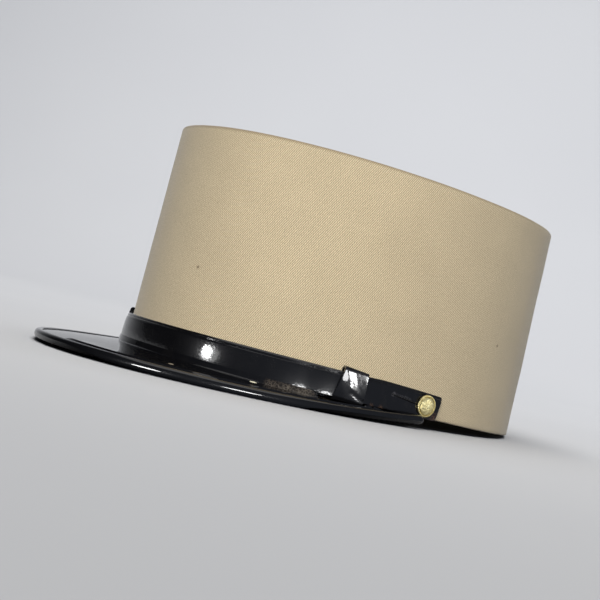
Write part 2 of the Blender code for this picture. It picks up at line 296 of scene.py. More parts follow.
def calculate(tree, operation, *values):
    return addNode(tree, "Math", dict(enumerate(values)), operation=operation).outputs[0]


def measure(tree, operation, place, vector):
    return addNode(tree, "VectorMath", {0: place, 1: vector}, operation=operation).outputs["Value"]


def noiseMap(tree, place, scale, detail, roughness=0.5, distortion=0.0):
    return addNode(tree, "TexNoise", {"Vector": place, "Scale": scale, "Detail": detail,
                                      "Roughness": roughness, "Distortion": distortion}).outputs["Fac"]


def addBump(tree, height, depth, strength, **sockets):
    # the depth is in millimetres
    return addNode(tree, "Bump", {"Height": height, "Distance": depth * mm, "Strength": strength,
                                  **sockets}).outputs["Normal"]


def linkShader(tree, shader, **sources):
    names = {"colour": "Base Color", "roughness": "Roughness", "normal": "Normal"}
    for source, output in sources.items():
        tree.links.new(output, shader.inputs[names[source]])


def khakiTwillCloth():
    # Cotton and wool gabardine: a twill woven in steep ribs 0.78 mm apart from threads of mixed shades.
    # It is matt, and its ribs show as fine diagonal lines. The flat map is in centimetres of cloth.
    weave = {
        "rib": 0.78, "ribLean": 60.0, "float": 1.5, "floatWeight": 0.15, "wander": 4.0, "wanderScale": 6.0,
        "light": "#dccdae", "dark": "#6c614a", "base": "#b0a28a", "threadShare": 0.8,
        "fibreScale": 14.0, "melange": (0.75, 1.23), "patchScale": 0.35, "broad": (0.965, 1.03),
        "relief": 0.10, "fibreRelief": 0.5,
        # the soil colour also paints shade along the fold at the top edge
        "soilAndShade": "#6a5d4a", "foldFrom": 10.26, "foldTo": 10.40, "foldShade": 0.75,
    }
    # specks on the cloth in millimetres: their middles, and where their dark core and soft edge end
    specks = {"middles": ((79.9, 60.8, 44.4), (20.4, -74.3, 48.9)), "core": 0.45, "edge": 0.9, "soilAndShade": 0.85}
    made, tree, shader = startMaterial("khakiTwillCloth", {
        "Roughness": 0.92, "Sheen Weight": 0.25, "Sheen Roughness": 0.5, "Specular IOR Level": 0.25})
    place = addNode(tree, "UVMap", uv_map="UVMap").outputs["UV"]
    objectPlace = addNode(tree, "TexCoord").outputs["Object"]
    wobble = noiseMap(tree, place, weave["wanderScale"], 2.0)
    # distance across the ribs and along them, in millimetres
    lean = math.radians(weave["ribLean"])
    across = measure(tree, "DOT_PRODUCT", place, (10 * math.sin(lean), -10 * math.cos(lean), 0))
    along = measure(tree, "DOT_PRODUCT", place, (10 * math.cos(lean), 10 * math.sin(lean), 0))
    turns = calculate(tree, "MULTIPLY", across, 2 * math.pi / weave["rib"])
    rib = calculate(tree, "SINE", calculate(tree, "MULTIPLY_ADD", wobble, weave["wander"], turns))
    # each float of a rib is offset from the next rib's
    floatTurns = calculate(tree, "MULTIPLY", along, 2 * math.pi / weave["float"])
    floats = calculate(tree, "SINE", calculate(tree, "MULTIPLY_ADD", turns, 0.5, floatTurns))
    threads = calculate(tree, "MULTIPLY_ADD", floats, weave["floatWeight"], rib)
    highest = 1 + weave["floatWeight"]
    height = remap(tree, threads, -highest, highest)
    woven = mixColours(tree, weave["threadShare"], weave["base"],
                       mixColours(tree, height, weave["dark"], weave["light"]))
    fibre = noiseMap(tree, place, weave["fibreScale"], 4.0, roughness=0.65)
    patch = noiseMap(tree, place, weave["patchScale"], 3.0, roughness=0.6)
    strength = calculate(tree, "MULTIPLY", remap(tree, fibre, 0.25, 0.75, *weave["melange"]),
                         remap(tree, patch, 0.3, 0.7, *weave["broad"]))
    tinted = addNode(tree, "VectorMath", {0: woven, "Scale": strength}, operation="SCALE").outputs["Vector"]
    # painted shade darkens the fold along the top edge, and a few specks of real soil lie on the cloth
    upHeight = addNode(tree, "SeparateXYZ", {0: place}).outputs["Y"]
    soilAndShade = remap(tree, upHeight, weave["foldFrom"], weave["foldTo"], 0.0, weave["foldShade"])
    for middle in specks["middles"]:
        away = measure(tree, "DISTANCE", objectPlace, tuple(part * mm for part in middle))
        dot = remap(tree, away, specks["core"] * mm, specks["edge"] * mm, specks["soilAndShade"], 0.0)
        soilAndShade = calculate(tree, "MAXIMUM", soilAndShade, dot)
    relief = calculate(tree, "MULTIPLY_ADD", fibre, weave["fibreRelief"], height)
    linkShader(tree, shader, colour=mixColours(tree, soilAndShade, tinted, weave["soilAndShade"]),
               normal=addBump(tree, relief, weave["relief"], 0.7))
    return made


def patentLeather(name, wear, smoothness=1.0, coat=0.35, scuffsAndPaintedSheen=()):
    # Patent leather: cowhide under a thick black lacquer. It is nearly black and mirror-like, with a faint
    # orange peel 0.9 mm across, a crinkle 2.6 mm across, and dust in patches of 7 mm that dulls it.
    lacquer = {
        "black": "#08080a", "dull": "#1b1a1a", "peel": 0.9, "peelDepth": 0.030, "crinkle": 2.6,
        "crinkleDepth": 0.05 + 0.12 * wear, "dustPatch": 7.0, "dustShare": 0.3 + 0.7 * wear,
        "gloss": 0.04 + 0.12 * wear, "dustyGloss": 0.10 + 0.5 * wear, "crack": 1.3, "bareGloss": 0.55,
    }
    made, tree, shader = startMaterial(name, {"IOR": 1.5, "Coat Weight": coat, "Coat Roughness": 0.28,
                                              "Coat IOR": 1.4})
    place = addNode(tree, "TexCoord").outputs["Object"]
    peel = noiseMap(tree, place, 1 / (lacquer["peel"] * mm), 2.0)
    crinkle = noiseMap(tree, place, 1 / (lacquer["crinkle"] * mm), 3.0, roughness=0.6, distortion=0.6)
    dust = noiseMap(tree, place, 1 / (lacquer["dustPatch"] * mm), 5.0, roughness=0.7)
    roughness = remap(tree, dust, 0.45, 0.75, lacquer["gloss"], lacquer["dustyGloss"])
    looks = mixColours(tree, remap(tree, dust, 0.5, 0.8, 0.0, lacquer["dustShare"]),
                       lacquer["black"], lacquer["dull"])
    # worn places, and on the tab a painted reflection along the slit: the middle and reach of each in
    # millimetres, how far the lacquer has gone or how strong the painted grey is, and its colour
    cracks = addNode(tree, "TexVoronoi", {"Vector": place, "Scale": 1 / (lacquer["crack"] * mm),
                                          "Randomness": 1.0}, feature="DISTANCE_TO_EDGE")
    crackLine = remap(tree, cracks.outputs["Distance"], 0.02, 0.12, 1.0, 0.25)
    for middle, reach, amount, tone in scuffsAndPaintedSheen:
        away = measure(tree, "DISTANCE", place, tuple(part * mm for part in middle))
        ragged = calculate(tree, "MULTIPLY_ADD", dust, -0.9 * reach * mm, away)
        near = remap(tree, ragged, -0.1 * reach * mm, 0.45 * reach * mm, amount, 0.0)
        share = calculate(tree, "MULTIPLY", near, crackLine)
        looks = mixColours(tree, share, looks, tone)
        roughness = addNode(tree, "Mix", {"Factor": share, "A": roughness,
                                          "B": lacquer["bareGloss"]}).outputs["Result"]
    fine = addBump(tree, peel, lacquer["peelDepth"] / smoothness, 0.6)
    coarse = addBump(tree, crinkle, lacquer["crinkleDepth"] / smoothness, 0.6, Normal=fine)
    linkShader(tree, shader, colour=looks, roughness=roughness, normal=coarse)
    return made


def plainUnderLeather():
    # Vegetable-tanned lining leather, dyed black and left unlacquered: matt, with a pebbled grain 0.8 mm
    # across.
    grainSize, grainDepth = 0.8, 0.08
    made, tree, shader = startMaterial("plainUnderLeather", {"Roughness": 0.62})
    place = addNode(tree, "TexCoord").outputs["Object"]
    grain = addNode(tree, "TexVoronoi", {"Vector": place, "Scale": 1 / (grainSize * mm)},
                    feature="SMOOTH_F1").outputs["Distance"]
    linkShader(tree, shader, colour=mixColours(tree, grain, "#1a1816", "#2b2724"),
               normal=addBump(tree, grain, grainDepth, 0.5))
    return made


def stampedBrass():
    # Thin stamped brass, once polished: bright on the raised parts and duller in the low ones, with tarnish
    # in spots 0.9 mm across.
    spotSize, spotDepth = 0.9, 0.05
    made, tree, shader = startMaterial("stampedBrass", {"Metallic": 1.0, "Roughness": 0.3})
    place = addNode(tree, "TexCoord").outputs["Object"]
    tarnish = noiseMap(tree, place, 1 / (spotSize * mm), 4.0, roughness=0.6)
    raised = addNode(tree, "Attribute", attribute_name="raised").outputs["Fac"]
    share = remap(tree, calculate(tree, "SUBTRACT", tarnish, raised), -0.35, 0.45)
    linkShader(tree, shader, colour=mixColours(tree, share, "#faf0ba", "#b7a262"),
               roughness=remap(tree, share, 0.0, 1.0, 0.36, 0.6),
               normal=addBump(tree, tarnish, spotDepth, 0.5))
    return made


def waxedThread():
    # Black waxed linen thread: a soft gloss, with flecks of 0.25 mm where its two plies turn.
    plySize = 0.25
    made, tree, shader = startMaterial("waxedThread", {"Roughness": 0.5})
    place = addNode(tree, "TexCoord").outputs["Object"]
    ply = noiseMap(tree, place, 1 / (plySize * mm), 2.0)
    linkShader(tree, shader, colour=mixColours(tree, ply, "#0c0b0b", "#2e2b28"))
    return made


khakiTwill = khakiTwillCloth()
patentBlack = patentLeather("patentLeather", 0.0)
patentRoll = patentLeather("patentLeatherRoll", 0.0, smoothness=3.0)
# beside the strap on the wearer's left the peak's lacquer has crazed and browned, and two flakes are off
patentPeak = patentLeather("patentLeatherPeak", 0.0, smoothness=6.0, coat=0.12, scuffsAndPaintedSheen=(
    ((61.1, -59.2, 5.5), 2.1, 5.0, "#fbf6dc"), ((43.2, -90.7, 5.4), 1.6, 3.0, "#a09684"),
    ((63.0, -50.0, 5.6), 5.0, 0.7, "#4e463d"), ((65.5, -43.0, 5.7), 7.0, 0.9, "#575047"),
    ((69.5, -36.0, 5.6), 7.0, 1.0, "#575047"), ((73.5, -28.0, 5.5), 6.0, 1.0, "#4e463d"),
    ((77.0, -20.0, 5.4), 5.0, 0.8, "#46382e")))
# the inner layer has brown spots behind the keeper and at its end, and the grey along the slit is painted
# reflection of the slit's raised lips
slitPaintedReflection = [((84.2 + 0.2 * k, 1.5 + 1.4 * k, 13.1 - 0.14 * k), 1.2, 0.5, "#3c3c40") for k in range(7)]
patentTab = patentLeather("patentLeatherTab", 0.35, scuffsAndPaintedSheen=(
    ((82.9, -9.4, 6.3), 1.6, 0.8, "#4a382c"), ((83.6, -4.5, 5.8), 2.0, 0.7, "#4a382c"),
    ((86.8, 25.0, 6.2), 3.2, 1.0, "#4a3329"), ((84.1, 0.9, 13.2), 1.5, 0.7, "#46464a"),
    *slitPaintedReflection))
patentWorn = patentLeather("patentLeatherWorn", 0.12, scuffsAndPaintedSheen=(
    ((82.4, -20.3, 12.6), 1.5, 1.6, "#4d4b49"), ((82.3, -12.2, 7.3), 1.2, 1.6, "#77746f")))
underLeather = plainUnderLeather()
brass = stampedBrass()
thread = waxedThread()
print("materials made")


# The crown: one panel of twill round a stiff wall, sewn together at the back

def makeCrownSide():
    panel = flatPanel("crownSide", -halfRim, halfRim, 0, 1, crown["columns"], crown["rows"])

    def rise(x, y, z):
        return x, y * crownHeight(angleOf(x)), z

    movePoints(panel, rise)
    keepFlatMap(panel)

    def wrap(x, y, z):
        fromSeam = halfRim - np.abs(x)
        seam = -crown["seamDepth"] * np.exp(-(fromSeam / crown["seamHalfWidth"]) ** 2)
        return wrapOnCrown(x, y, seam)

    movePoints(panel, wrap)
    mergePoints(panel, 0.02)
    addDisplacement(panel, crown["unevenness"], crown["unevenSize"])
    applyModifier(panel, "SOLIDIFY", thickness=crown["wall"], offset=-1.0, use_even_offset=True)
    roundEdges(panel, crown["edgeRound"])
    standCap(panel)
    finishPiece(panel, khakiTwill, "khaki_twill", "crown_side")


crownTop = {"sunk": 3.5, "thickness": 2.0, "dip": 1.6, "turnUp": 1.0, "turnUpShare": 0.012, "points": 240,
            "rings": 16, "edgeRings": 3, "edgeStep": 0.02, "unevenness": 0.5, "unevenSize": 30.0}


def makeCrownTop():
    bpy.ops.mesh.primitive_circle_add(vertices=crownTop["points"], radius=1, fill_type="NGON")
    disc = nameActive("crownTop")
    startEdit(disc, "SELECT")
    for ring in range(crownTop["rings"]):
        atEdge = ring < crownTop["edgeRings"]
        bpy.ops.mesh.inset(thickness=crownTop["edgeStep"] if atEdge else 0.9 / crownTop["rings"])
    bpy.ops.mesh.poke()
    endEdit()

    def lay(x, y, z):
        reach = np.hypot(x, y)
        angle = np.arctan2(x, -y)
        edgeX, edgeY, edgeZ = crownPoint(angle, crownHeight(angle) - crownTop["sunk"],
                                         -crown["wall"] - fitGap)
        middleX, middleY = 0.0, -crown["topLean"]
        curl = crownTop["turnUp"] * np.exp(-((1 - reach) / crownTop["turnUpShare"]) ** 2)
        dip = crownTop["dip"] * (1 - reach ** 2) ** 2
        return middleX + (edgeX - middleX) * reach, middleY + (edgeY - middleY) * reach, edgeZ - dip + curl

    movePoints(disc, lay)
    keepFlatMap(disc)
    addDisplacement(disc, crownTop["unevenness"], crownTop["unevenSize"])
    applyModifier(disc, "SOLIDIFY", thickness=crownTop["thickness"], offset=-1.0)
    standCap(disc)
    finishPiece(disc, khakiTwill, "khaki_twill", "crown_top")


makeCrownSide()
makeCrownTop()


# The strap's places along the rim

strap = {
    "width": 13.2, "endWidth": 11.4, "taper": 32.0, "thickness": 1.2, "sideDrop": 0.3, "frontDip": 0.8,
    "ease": 15.0, "pastButton": 7.4, "edgeRound": 0.38, "crown": 0.30, "flare": 0.85, "uneven": 0.035,
    "topTrim": 1.3, "trimEase": 55.0, "endLean": 2.4, "leanLength": 10.0, "step": 0.8, "rows": 44,
    "slitLength": 19.0, "slitWidth": 0.3, "slitRise": 1.8, "slitTurn": 0.7, "lipRise": 0.28, "lipWidth": 0.6,
    "lineBelow": 1.5, "lineDepth": 0.36, "lineWidth": 0.4, "edgeFall": 0.6, "edgeReach": 1.1,
    "holeRadius": 1.5, "punchDepth": 6, "unevenSizes": (9.0, 6.0),
}
keeper = {
    "length": 12.7, "wall": 1.0, "corner": 1.2, "edgeRound": 0.25, "cuts": 18, "slant": 0.21, "sag": 1.1,
    "bow": 0.008, "tipCover": 1.5, "leftFromButton": 39.6, "rightFromButton": 77.5,
    "foldMiddle": (-2.9, 0.9), "foldDirection": (0.87, 0.5), "firstFold": -2.1, "firstFall": 0.10,
    "secondFold": 1.1, "secondFall": 0.13, "fallMost": 0.45, "ripple": 0.025, "rippleSizes": (2.2, 2.2),
}
button = {
    "ahead": 5.2, "radius": 5.0, "rimWidth": 0.8, "domeHeight": 2.3, "domeFoot": 0.85, "shankRadius": 1.2,
    "backInset": 0.25, "rimSteps": ((0.25, 1.06), (0.7, 1.0), (0.15, 0.955)), "rings": 26,
    "leaves": 9, "leafReach": 2.75, "leafWidth": 0.62, "leafRise": 0.09, "leafCurl": 2.2, "curlReach": 2.7,
    "ringReach": 1.55, "ringWidth": 0.14, "ringRise": 0.06, "bossReach": 1.05, "bossEase": 0.4,
    "bossRise": 0.12, "mottle": 0.05, "mottleSizes": (0.45, 0.45),
}

buttonRun = runOf(angleAhead(button["ahead"]))
keeperRuns = (buttonRun - keeper["leftFromButton"], keeper["rightFromButton"] - buttonRun)
leftTipRun = keeperRuns[1] - keeper["length"] / 2 + keeper["tipCover"]
rightTipRun = keeperRuns[0] + keeper["length"] / 2 - keeper["tipCover"]


def strapBottom(run):
    ahead = np.maximum(np.cos(angleOf(run)), 0.0)
    return -strap["sideDrop"] - strap["frontDip"] * ahead * ahead


def fromEnd(run):
    return buttonRun + strap["pastButton"] - np.abs(run)


def strapWidth(run):
    narrowing = strap["width"] - strap["endWidth"]
    return strap["width"] - narrowing * np.maximum(0.0, 1 - fromEnd(run) / strap["taper"])


def strapMiddle(run):
    return strapBottom(run) + strapWidth(run) / 2


def innerLane(run):
    # the inner layer's back stands off the crown where a keeper passes behind it
    lifts = [1 - smoothStep((np.abs(run - at) - keeper["length"] / 2) / strap["ease"]) for at in keeperRuns]
    return fitGap + (keeper["wall"] + fitGap) * np.maximum(*lifts)


def outerLane(run):
    # the outer layer lies on the inner one, then eases in to the crown beyond its tip
    onTop = smoothStep((run - (leftTipRun - fitGap - strap["ease"])) / strap["ease"])
    return innerLane(run) + (strap["thickness"] + fitGap) * onTop


# The peak

peak = {
    "reach": 46.9, "sideReach": 5.4, "widestAhead": 30.6, "cornerAhead": 12.5, "thickness": 1.6,
    "frontDrop": 8.6, "endDrop": 1.2, "arch": 1.4, "flange": 6.0, "columns": 300, "rows": 108,
    "bend": 1.6, "turnUp": 0.12, "turnOut": 0.3, "fineReach": 9.0, "ripple": 0.04, "rippleSize": 24.0,
    "welt": 2.7, "weltOut": 1.8, "weltGap": 0.3, "weltInner": 0.7, "weltOuter": 0.45, "weltClear": 8.5,
    "weltEase": 5.0, "rimRise": 1.5, "rimLength": 5.0, "lipCover": 1.9, "plainWidth": 9.0, "plainEase": 6.0,
}
binding = {
    "radius": 2.3, "lip": 0.5, "endAhead": 10.2, "endRound": 3.4, "endShare": 0.985, "columns": 660,
    "rows": 30, "length": 330.0, "pleat": 2.4, "pleatDepth": 0.45, "pleatTurn": 0.52 * math.pi,
    "pleatSpread": 0.45, "squareness": 2.4, "depthShare": 0.93, "heightShare": 0.96,
    "rolled": 0.94, "inSlot": 0.945, "slotBack": 0.98,
}

rollFront = crown["length"] / 2 + peak["reach"]
rollHalfWidth = crown["width"] / 2 + peak["sideReach"]
peakAboveRoll = binding["radius"] - binding["lip"] - fitGap - peak["thickness"] / 2
seatHeight = float(strapBottom(keeperRuns[0])) - (2 * fitGap + keeper["wall"] + peak["thickness"] / 2)


def rollTurn(ahead):
    return math.acos((ahead - peak["widestAhead"]) / (rollFront - peak["widestAhead"]))


def rollPoint(turn):
    across = rollHalfWidth * np.sin(turn)
    ahead = peak["widestAhead"] + (rollFront - peak["widestAhead"]) * np.cos(turn)
    share = (ahead - binding["endAhead"]) / (rollFront - binding["endAhead"])
    slope = peak["endDrop"] + (peak["frontDrop"] - peak["endDrop"]) * share
    return np.stack([across, -ahead, -slope - peak["arch"] * 4 * share * (1 - share)], axis=-1)


def unit(vectors):
    return vectors / np.linalg.norm(vectors, axis=-1, keepdims=True)


def peakLines(share):
    # the roll's middle, its direction, and the peak's outward and upward directions, a share of the way round
    turn = share * rollTurn(peak["cornerAhead"])
    edge = rollPoint(turn)
    step = math.radians(0.5)
    forward = unit(rollPoint(turn + step) - rollPoint(turn - step))
    seatAngle = np.clip(share, -1, 1) * angleAhead(peak["cornerAhead"])
    seat = np.stack(crownPoint(seatAngle, seatHeight + 0 * share, -crown["wall"] - fitGap), axis=-1)
    rib = edge + np.array([0, 0, peakAboveRoll]) - seat
    up = unit(np.cross(rib, forward))
    up *= np.where(up[..., 2:] < 0, -1, 1)
    outward = unit(np.cross(forward, up))
    outward *= np.where((outward * rib).sum(axis=-1, keepdims=True) < 0, -1, 1)
    return edge, forward, outward, up, seat


def peakMiddle(share, row):
    # the peak's middle layer: up inside the crown, round the bend, and out to the roll
    edge, _, _, up, _ = peakLines(share)
    rim = edge + up * peakAboveRoll
    angle = share * angleAhead(peak["cornerAhead"])
    inside = -crown["wall"] - fitGap - peak["thickness"] / 2
    flangeTop, bendTop, corner = (np.stack(crownPoint(angle, height + 0 * share, inside), axis=-1)
                                  for height in (peak["flange"], seatHeight + peak["bend"], seatHeight))
    bendOut = corner + unit(rim - corner) * peak["bend"]
    row = row[:, None]
    lowShare = np.clip((row - peak["turnOut"]) / (1 - peak["turnOut"]), 0, 1)
    t = np.clip((row - peak["turnUp"]) / (peak["turnOut"] - peak["turnUp"]), 0, 1)
    curve = bendTop * (1 - t) ** 2 + corner * 2 * t * (1 - t) + bendOut * t ** 2
    upright = flangeTop + (bendTop - flangeTop) * np.clip(row / peak["turnUp"], 0, 1)
    # the rows are closest at the crown, where the leather turns up in a fine ridge under the strap
    fromBend = np.linalg.norm(rim - bendOut, axis=-1, keepdims=True)
    fine = peak["fineReach"] / fromBend
    reach = np.where(lowShare < 0.5, lowShare * 2 * fine, fine + (lowShare * 2 - 1) * (1 - fine))
    reach = np.where(fromBend > 1.4 * peak["fineReach"], reach, lowShare)
    flat = bendOut + (rim - bendOut) * reach
    points = np.where(row < peak["turnUp"], upright, np.where(row < peak["turnOut"], curve, flat))
    return points, (reach * fromBend)[:, 0], fromBend[:, 0]


def peakRelief(share, out, width):
    # a welt beside the strap's lower edge, which sinks where a keeper passes
    run = runOf(share * angleAhead(peak["cornerAhead"]))
    lane = np.where(run > rightTipRun, innerLane(run), outerLane(run))
    face = lane + strap["thickness"] + strap["flare"] / 2
    nearKeeper = np.maximum(*(1 - smoothStep((np.abs(run - at) - peak["weltClear"]) / peak["weltEase"])
                              for at in keeperRuns))
    fromStrap = out - (face + peak["weltGap"] + peak["weltOut"])
    halfWidth = np.where(fromStrap < 0, peak["weltInner"], peak["weltOuter"])
    welt = peak["welt"] * (1 - nearKeeper) * np.exp(-(fromStrap / halfWidth) ** 2)
    # on the wearer's left the leather bulges a little before it goes under the roll's lip
    fromLip = width - out - peak["lipCover"]
    bulge = peak["rimRise"] * smoothStep(share / 0.06) * smoothStep(fromLip / 0.5)
    bulge *= np.exp(-np.maximum(fromLip, 0) / peak["rimLength"])
    return (welt + bulge) * smoothStep((width - peak["plainWidth"]) / peak["plainEase"])


def makePeak():
    panel = flatPanel("peak", -1, 1, 0, 1, peak["columns"], peak["rows"])
    applyModifier(panel, "SOLIDIFY", thickness=1, offset=0.0)
    # the lacquered side is the upper one
    panel.data.materials.append(patentPeak)
    panel.data.materials.append(underLeather)
    for face in panel.data.polygons:
        face.material_index = 1 if face.normal.z < -0.5 else 0

    def shapePeak(share, row, z):
        points, out, width = peakMiddle(share, row)
        small = 0.002
        along = peakMiddle(share + small, row)[0] - peakMiddle(share - small, row)[0]
        below, above = np.minimum(row + small, 1), np.maximum(row - small, 0)
        down = peakMiddle(share, below)[0] - peakMiddle(share, above)[0]
        normal = unit(np.cross(down, along))
        relief = np.where(z > 0, peakRelief(share, out, width), 0)
        relief = np.where(row > peak["turnOut"], relief, 0)
        ripple = np.array([noise.noise(Vector(point) / peak["rippleSize"]) for point in points])
        lift = z * peak["thickness"] + relief + peak["ripple"] * ripple
        return (points + normal * lift[:, None]).T

    movePoints(panel, shapePeak)
    faceOutwards(panel)
    standCap(panel)
    finishPiece(panel, None, "patent_leather", "peak")


def makeBinding():
    # a strip of lacquered leather rolled round a cord, with its edge lying on the peak as a lip
    radius = binding["radius"]
    slotTop = peakAboveRoll + peak["thickness"] / 2 + fitGap
    slotBottom = peakAboveRoll - peak["thickness"] / 2 - fitGap
    start = math.pi - math.asin(slotTop / radius)
    end = -math.pi - math.asin(slotBottom / radius)
    last = rollTurn(binding["endAhead"]) / rollTurn(peak["cornerAhead"])
    strip = flatPanel("peakBinding", -1, 1, 0, 1, binding["columns"], binding["rows"])
    endShare, power = binding["endShare"], binding["squareness"]

    def rollUp(x, y, z):
        overrun = np.clip((np.abs(x) - endShare) / (1 - endShare), 0, 1) * math.radians(88)
        share = np.clip(x / endShare, -1, 1) * last
        edge, forward, outward, up, _ = peakLines(share)
        turn = start + (end - start) * np.clip(y / binding["rolled"], 0, 1)
        pleat = 0.5 + 0.5 * np.cos(2 * math.pi * x * binding["length"] / 2 / binding["pleat"])
        under = np.exp(-((turn + binding["pleatTurn"]) / binding["pleatSpread"]) ** 2)
        swell = radius - binding["pleatDepth"] * pleat * under
        # the strip is pulled tight, so its outer face is flatter than a round cord's
        square = (np.abs(np.cos(turn)) ** power + np.abs(np.sin(turn)) ** power) ** (-1 / power)
        across = swell * square * binding["depthShare"] * np.cos(turn)
        rise = swell * (0.4 + 0.6 * square) * binding["heightShare"] * np.sin(turn)
        # the last rows close the slot that the peak's edge lies in
        across = np.where(y > binding["inSlot"], fitGap, across)
        slotSide = np.where(y > binding["slotBack"], slotTop, slotBottom)
        rise = np.where(y > binding["inSlot"], slotSide, rise)
        scale = np.cos(overrun)
        middle = edge + forward * (np.sign(x) * binding["endRound"] * np.sin(overrun))[:, None]
        points = middle + outward * (across * scale)[:, None] + up * (rise * scale)[:, None]
        return points.T

    movePoints(strip, rollUp)
    mergePoints(strip, 0.01)
    faceOutwards(strip)
    standCap(strip)
    finishPiece(strip, patentRoll, "patent_leather", "peak_binding", angle=50)


stitch = {"length": 1.5, "thickness": 0.30, "inset": 2.95, "below": 0.1, "count": 136, "span": 0.975,
          "tailShare": 0.0246, "tailDown": 1.4, "tailOut": 2.3}


def makeStitches():
    # a row of stitches under the peak, just inside the roll, and the loose tail of their thread
    bpy.ops.mesh.primitive_uv_sphere_add(segments=8, ring_count=6, radius=1)
    first = bpy.context.active_object
    startEdit(first, "SELECT")
    bpy.ops.transform.resize(value=(stitch["length"] / 2, stitch["thickness"] / 2, stitch["thickness"] / 2))
    endEdit()
    last = rollTurn(binding["endAhead"]) / rollTurn(peak["cornerAhead"]) * stitch["span"]
    underPeak = peakAboveRoll - peak["thickness"] / 2 - stitch["below"]
    made = []
    for k in range(stitch["count"] + 1):
        isTail = k == stitch["count"]
        share = stitch["tailShare"] if isTail else last * (2 * k / (stitch["count"] - 1) - 1)
        edge, forward, outward, up, _ = (line[0] for line in peakLines(np.array([share])))
        one = first.copy()
        one.data = first.data.copy()
        bpy.context.collection.objects.link(one)
        if isTail:
            middle = edge - up * stitch["tailDown"] + outward * stitch["tailOut"]
            axes = (outward * 0.95 - up * 0.3, forward, up)
        else:
            middle = edge - outward * stitch["inset"] + up * underPeak
            axes = (forward + outward * 0.12, outward, up)
        movePoints(one, lambda *parts: middle[:, None] + sum(axis[:, None] * part
                                                             for axis, part in zip(axes, parts)))
        made.append(one)
    bpy.data.objects.remove(first, do_unlink=True)
    makeActive(made[0])
    for one in made:
        one.select_set(True)
    bpy.ops.object.join()
    row = nameActive("peakStitches")
    standCap(row)
    finishPiece(row, thread, "patent_leather")


makePeak()
makeBinding()
makeStitches()


# The strap's two layers

def makeStrap(name, lane, start, end, side, material, finish, node):
    columns = round((end - start) / strap["step"])
    layer = flatPanel(name, start, end, -0.5, 0.5, columns, strap["rows"])

    def widen(x, y, z):
        trim = strap["topTrim"] * smoothStep(fromEnd(x) / strap["trimEase"])
        lean = strap["endLean"] * np.maximum(0.0, 1 - fromEnd(x) / strap["leanLength"])
        return x + np.sign(x) * lean * (y + 0.5), y * strapWidth(x) - (y + 0.5) * trim, z

    movePoints(layer, widen)
    applyModifier(layer, "SOLIDIFY", thickness=strap["thickness"], offset=1.0)
    roundEdges(layer, strap["edgeRound"])
    # the buttonhole: a round hole and a slit ahead of it
    bpy.ops.mesh.primitive_cylinder_add(vertices=24, radius=strap["holeRadius"], depth=strap["punchDepth"],
                                        location=(side * buttonRun, 0, 0))
    punch = bpy.context.active_object
    bpy.ops.mesh.primitive_cube_add(size=1, location=(side * (buttonRun - strap["slitLength"] / 2),
                                                      strap["slitRise"] / 2, 0))
    knife = bpy.context.active_object
    knife.scale = (strap["slitLength"], strap["slitWidth"], strap["punchDepth"])
    knife.rotation_euler.x = strap["slitTurn"]
    knife.rotation_euler.z = -side * math.asin(strap["slitRise"] / strap["slitLength"])
    for tool in (punch, knife):
        applyModifier(layer, "BOOLEAN", operation="DIFFERENCE", solver="EXACT", object=tool)
        bpy.data.objects.remove(tool, do_unlink=True)

    def wrap(x, y, z):
        across = 2 * y / strapWidth(x)
        swell = strap["crown"] * (1 - across ** 2) - strap["flare"] / 2 * across
        # a line is pressed in along the top edge, and the slit's lips stand up a little
        fromTop = strapWidth(x) / 2 - strap["topTrim"] * smoothStep(fromEnd(x) / strap["trimEase"]) - y
        swell -= strap["lineDepth"] * np.exp(-((fromTop - strap["lineBelow"]) / strap["lineWidth"]) ** 2)
        nearEdge = smoothStep((strap["edgeReach"] - fromTop) / strap["edgeReach"])
        swell -= strap["edgeFall"] * nearEdge * (z > strap["thickness"] / 2)
        along = np.clip((buttonRun - side * x) / strap["slitLength"], 0.12, 1)
        fromSlit = np.hypot(side * x - buttonRun + along * strap["slitLength"],
                            y - along * strap["slitRise"])
        swell += strap["lipRise"] * np.exp(-(fromSlit / strap["lipWidth"]) ** 2)
        swell += strap["uneven"] * ripples(x, y, strap["unevenSizes"], 3.1) - strap["crown"] / 2
        return wrapOnCrown(x, strapMiddle(x) + y, lane(x) + z + swell)

    movePoints(layer, wrap)
    standCap(layer)
    finishPiece(layer, material, finish, node)


makeStrap("strapLeft", innerLane, leftTipRun, buttonRun + strap["pastButton"], 1, patentTab,
          "worn_patent_leather", "strap_left")
makeStrap("strapRight", outerLane, -buttonRun - strap["pastButton"], rightTipRun, -1, patentBlack,
          "patent_leather", "strap_right")


# The keepers: leather loops round both layers. Creases are in millimetres from the loop's middle:
# start, end, depth and width.

leftCreases = (((-0.9, 2.2), (0.9, -3.4), 0.09, 0.40), ((0.3, -3.2), (6.0, -6.0), 0.20, 0.75),
               ((1.2, 5.6), (4.5, 2.5), 0.03, 1.0))
rightCreases = (((-5, 3), (2, 4), 0.15, 1.2), ((1, -5), (5, 1), 0.12, 1.2))


